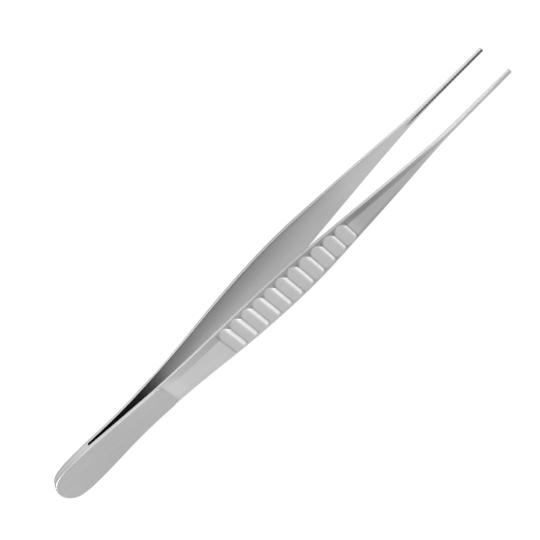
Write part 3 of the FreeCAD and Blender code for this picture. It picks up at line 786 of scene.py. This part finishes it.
print("lens %.1f mm, %.0f mm away" % (camera_data.lens, VIEW_DISTANCE / MM))

# %% [markdown]
# ## Floor
# The photograph's ground is pure white. A floor that is only painted white
# would need so much light that the steel burns out. So it glows white to the
# camera and to the steel, and a small part of its brightness comes from the
# lamp and the room, so the shadow under the instrument stays.

# %% A white floor
FLOOR_SIDE = 4.0
FLOOR_GLOW, FLOOR_LIT, FLOOR_PAINT = 0.90, 0.09, 0.8


def diffuse_share(tree, white):
    """Plain paint of that grey."""
    node = tree.nodes.new("ShaderNodeBsdfDiffuse")
    node.inputs["Color"].default_value = (white, white, white, 1)
    return node


def floor_material():
    """White to the camera and in reflections, and paint to all other light."""
    material = bpy.data.materials.new("white_floor")
    material.use_nodes = True
    tree = material.node_tree
    tree.nodes.remove(tree.nodes["Principled BSDF"])
    path = tree.nodes.new("ShaderNodeLightPath")
    seen = path.outputs["Is Camera Ray"]
    for ray in ("Is Glossy Ray", "Is Transmission Ray"):
        either = tree.nodes.new("ShaderNodeMath")
        either.operation = "MAXIMUM"
        link(tree, seen, either.inputs[0])
        link(tree, path.outputs[ray], either.inputs[1])
        seen = either.outputs[0]
    glow = tree.nodes.new("ShaderNodeEmission")
    glow.inputs["Strength"].default_value = FLOOR_GLOW
    shown = tree.nodes.new("ShaderNodeAddShader")
    link(tree, glow.outputs[0], shown.inputs[0])
    link(tree, diffuse_share(tree, FLOOR_LIT).outputs[0], shown.inputs[1])
    pick = tree.nodes.new("ShaderNodeMixShader")
    link(tree, seen, pick.inputs[0])
    link(tree, diffuse_share(tree, FLOOR_PAINT).outputs[0], pick.inputs[1])
    link(tree, shown.outputs[0], pick.inputs[2])
    link(tree, pick.outputs[0], tree.nodes["Material Output"].inputs["Surface"])
    return material


bm = bmesh.new()
bmesh.ops.create_grid(bm, x_segments=1, y_segments=1, size=FLOOR_SIDE / 2)
floor_mesh = bpy.data.meshes.new("floor")
bm.to_mesh(floor_mesh)
bm.free()
floor_mesh.materials.append(floor_material())
floor = bpy.data.objects.new("floor", floor_mesh)
bpy.context.scene.collection.objects.link(floor)
print("the floor is %.0f m wide" % FLOOR_SIDE)

# %% [markdown]
# ## Light
# Steel shows what stands round it, so the light is a picture of a small
# studio. The room is a soft gradient: darker just above the table, brightest
# half way up. A soft lamp low at the left draws the bright line down each
# flute.

# %% The room
# Each grey: how high it lies, from 0 at the horizon to 1 overhead.
ROOM = ((0.0, 0.12), (0.21, 0.12), (0.38, 0.9), (0.55, 1.25), (0.68, 2.3), (0.85, 2.3),
        (0.95, 0.7), (1.0, 0.6))

world = bpy.data.worlds.new("studio")
bpy.context.scene.world = world
world.use_nodes = True
tree = world.node_tree
background = tree.nodes["Background"]
place = tree.nodes.new("ShaderNodeTexCoord")
split = tree.nodes.new("ShaderNodeSeparateXYZ")
link(tree, place.outputs["Generated"], split.inputs[0])
link(tree, grey_ramp(tree, split.outputs["Z"], ROOM), background.inputs["Color"])
white = tree.nodes.new("ShaderNodeBackground")
white.inputs["Color"].default_value = (1, 1, 1, 1)
path = tree.nodes.new("ShaderNodeLightPath")
pick = tree.nodes.new("ShaderNodeMixShader")
link(tree, path.outputs["Is Camera Ray"], pick.inputs[0])
link(tree, background.outputs[0], pick.inputs[1])
link(tree, white.outputs[0], pick.inputs[2])
link(tree, pick.outputs[0], tree.nodes["World Output"].inputs["Surface"])
print("the room has %d greys, %.1f at the brightest" % (len(ROOM), max(grey for _, grey in ROOM)))

# %% The lamp


def soft_lamp(name, azimuth, elevation, distance, width, height, watts):
    """A rectangular lamp that faces the middle of the instrument."""
    data = bpy.data.lights.new(name, "AREA")
    data.shape = "RECTANGLE"
    data.size = width
    data.size_y = height
    data.energy = watts
    lamp = bpy.data.objects.new(name, data)
    turn, rise = math.radians(azimuth), math.radians(elevation)
    away = Vector((math.sin(turn) * math.cos(rise), -math.cos(turn) * math.cos(rise),
                   math.sin(rise)))
    lamp.location = away * distance
    lamp.rotation_mode = "QUATERNION"
    lamp.rotation_quaternion = away.to_track_quat("Z", "Y")
    bpy.context.scene.collection.objects.link(lamp)
    return lamp


left_lamp = soft_lamp("left_lamp", azimuth=-57, elevation=10, distance=0.8,
                      width=0.32, height=0.28, watts=6.5)
print("%s is %.2f m away" % (left_lamp.name, left_lamp.location.length))

# %% Show colours as they are written
bpy.context.scene.view_settings.view_transform = "Standard"
